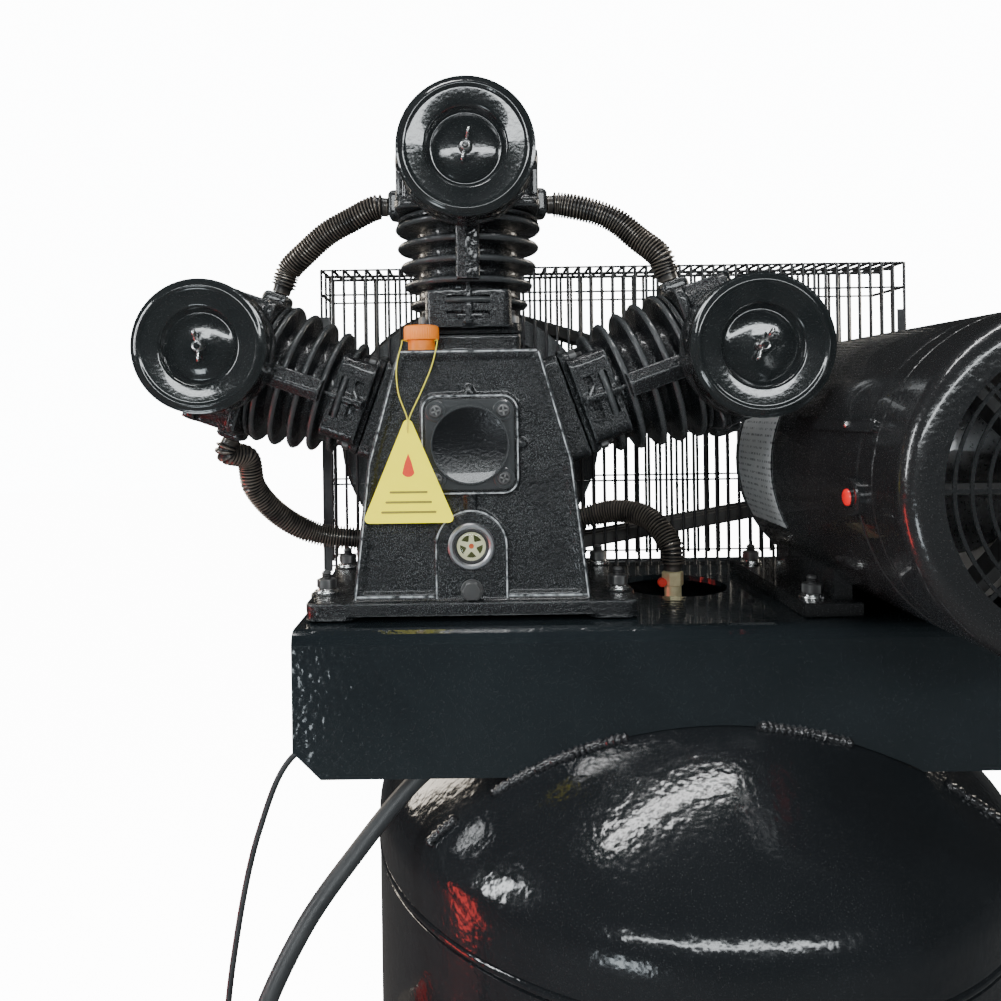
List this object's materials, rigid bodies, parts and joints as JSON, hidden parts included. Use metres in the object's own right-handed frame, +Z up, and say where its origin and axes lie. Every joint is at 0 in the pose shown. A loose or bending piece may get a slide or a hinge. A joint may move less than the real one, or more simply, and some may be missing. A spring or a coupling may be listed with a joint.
{
  "type": "air compressor",
  "caption": "Belt-driven piston air compressor: W-form pump and electric motor on a folded saddle over a vertical dished tank, with belt guard, finned pipes and air fittings.",
  "frame": {"origin": "middle of the footprint box, on the floor", "axes": "+Z up; +X from the pump to the motor; +Y from the air filters to the belt guard"},
  "size_m": [0.9226, 0.704, 1.7071],
  "materials": {
    "black_paint": "gloss black enamel over pressed and rolled steel, light orange peel",
    "black_casting": "gloss black enamel over rough sand-cast iron",
    "black_wire": "satin black dipped steel wire",
    "machined_steel": "turned and ground, oiled",
    "zinc_steel": "bright zinc plate",
    "piston_alloy": "turned aluminium",
    "brass": "machined, slightly dull",
    "finned_tube": "spiral-finned tube, black with bare metal edges",
    "black_rubber": "smooth matt sheath",
    "belt_rubber": "fabric-faced rubber",
    "black_plastic": "fine-textured moulding",
    "red_plastic": "moulded",
    "orange_plastic": "moulded, ribbed edge",
    "yellow_plastic": "laminated card",
    "sight_lens": "clear lens over a pale disc in an aluminium ring",
    "gauge_case": "plated case with a clear lens",
    "laminations": "stacked sheet with varnished coils"
  },
  "bodies": {
    "base": {"base_skirt": "black_paint", "bearing_cover": "black_casting", "belt_guard_back": "black_wire", "belt_guard_front": "black_wire", "check_valve": "brass", "crankcase": "black_casting", "cylinder_head_left": "black_casting", "cylinder_head_right": "black_casting", "cylinder_head_top": "black_casting", "cylinder_left": "black_casting", "cylinder_right": "black_casting", "cylinder_top": "black_casting", "discharge_tube": "finned_tube", "drive_belt": "belt_rubber", "filter_base_left": "black_paint", "filter_base_right": "black_paint", "filter_base_top": "black_paint", "filter_cover_left": "black_paint", "filter_cover_right": "black_paint", "filter_cover_top": "black_paint", "front_bearing": "machined_steel", "intercooler_left": "finned_tube", "intercooler_right": "finned_tube", "manifold": "brass", "motor_cable": "black_rubber", "motor_end_shield": "black_casting", "motor_fan_cover": "black_paint", "motor_frame": "black_paint", "motor_stator": "laminations", "outlet_valve": "brass", "piston_left": "piston_alloy", "piston_right": "piston_alloy", "piston_top": "piston_alloy", "platform": "black_paint", "pressure_gauge": "gauge_case", "pressure_switch": "black_plastic", "rear_bearing": "machined_steel", "safety_valve": "brass", "sight_glass": "sight_lens", "tank_shell": "black_paint", "terminal_box": "black_paint", "unloader_tube": "black_rubber"},
    "crank": {"crankshaft": "machined_steel", "flywheel": "black_paint"},
    "rotor": {"motor_rotor": "machined_steel", "motor_fan": "black_plastic", "motor_pulley": "black_casting"},
    "oil_cap": {"oil_filler_cap": "orange_plastic"},
    "reset": {"reset_button": "red_plastic"},
    "knob": {"switch_knob": "red_plastic"},
    "relief_ring": {"safety_ring": "zinc_steel"},
    "valve_lever": {"outlet_lever": "red_plastic"},
    "drain": {"drain_cock": "brass"},
    "tag": {"oil_tag": "yellow_plastic"},
    "rod_left": {"connecting_rod_left": "machined_steel"},
    "nut_left": {"wing_nut_left": "zinc_steel"},
    "rod_top": {"connecting_rod_top": "machined_steel"},
    "nut_top": {"wing_nut_top": "zinc_steel"},
    "rod_right": {"connecting_rod_right": "machined_steel"},
    "nut_right": {"wing_nut_right": "zinc_steel"}
  },
  "joints": [
    {"name": "crank_spin", "type": "hinge", "parent": "base", "child": "crank", "pos_m": [-0.14075, 0, 1.36956], "axis": [0, 1, 0], "continuous": true},
    {"name": "motor_spin", "type": "hinge", "parent": "base", "child": "rotor", "pos_m": [0.29025, 0, 1.34156], "axis": [0, 1, 0], "continuous": true},
    {"name": "rod_left_pin", "type": "hinge", "parent": "crank", "child": "rod_left", "pos_m": [-0.14075, 0, 1.39356], "axis": [0, 1, 0], "continuous": true},
    {"name": "rod_top_pin", "type": "hinge", "parent": "crank", "child": "rod_top", "pos_m": [-0.14075, 0, 1.39356], "axis": [0, 1, 0], "continuous": true},
    {"name": "rod_right_pin", "type": "hinge", "parent": "crank", "child": "rod_right", "pos_m": [-0.14075, 0, 1.39356], "axis": [0, 1, 0], "continuous": true},
    {"name": "nut_left_turn", "type": "hinge", "parent": "base", "child": "nut_left", "pos_m": [-0.39625, -0.137, 1.46588], "axis": [0, -1, 0], "continuous": true},
    {"name": "nut_top_turn", "type": "hinge", "parent": "base", "child": "nut_top", "pos_m": [-0.14075, -0.165, 1.64257], "axis": [0, -1, 0], "continuous": true},
    {"name": "nut_right_turn", "type": "hinge", "parent": "base", "child": "nut_right", "pos_m": [0.11843, -0.193, 1.45551], "axis": [0, -1, 0], "continuous": true},
    {"name": "oil_cap_turn", "type": "hinge", "parent": "base", "child": "oil_cap", "pos_m": [-0.18675, -0.108, 1.45957], "axis": [0, 0, 1], "continuous": true},
    {"name": "reset_press", "type": "slide", "parent": "base", "child": "reset", "axis": [1, 0, 0], "range_m": [0, 0.003], "stiffness_N_per_m": 400, "springref_m": -0.001},
    {"name": "knob_turn", "type": "hinge", "parent": "base", "child": "knob", "pos_m": [-0.28253, -0.13168, 0.80556], "axis": [0, 0, 1], "range_deg": [0, 60]},
    {"name": "relief_pull", "type": "slide", "parent": "base", "child": "relief_ring", "axis": [-0.342, 0.9397, 0], "range_m": [0, 0.004], "stiffness_N_per_m": 800, "springref_m": -0.001},
    {"name": "lever_turn", "type": "hinge", "parent": "base", "child": "valve_lever", "pos_m": [-0.33543, -0.15093, 0.70957], "axis": [0, 0, 1], "range_deg": [0, 90]},
    {"name": "drain_turn", "type": "hinge", "parent": "base", "child": "drain", "pos_m": [0.07925, 0, 0.07], "axis": [0, 0, -1], "continuous": true},
    {"name": "tag_swing", "type": "hinge", "parent": "base", "child": "tag", "pos_m": [-0.19775, -0.1503, 1.46456], "axis": [0, 1, 0], "range_deg": [-15, 15]}
  ],
  "couplings": [
    {"joint": "motor_spin", "follows": "crank_spin", "ratio": 2.7193},
    {"joint": "rod_left_pin", "follows": "crank_spin", "ratio": -1},
    {"joint": "rod_top_pin", "follows": "crank_spin", "ratio": -1},
    {"joint": "rod_right_pin", "follows": "crank_spin", "ratio": -1}
  ]
}
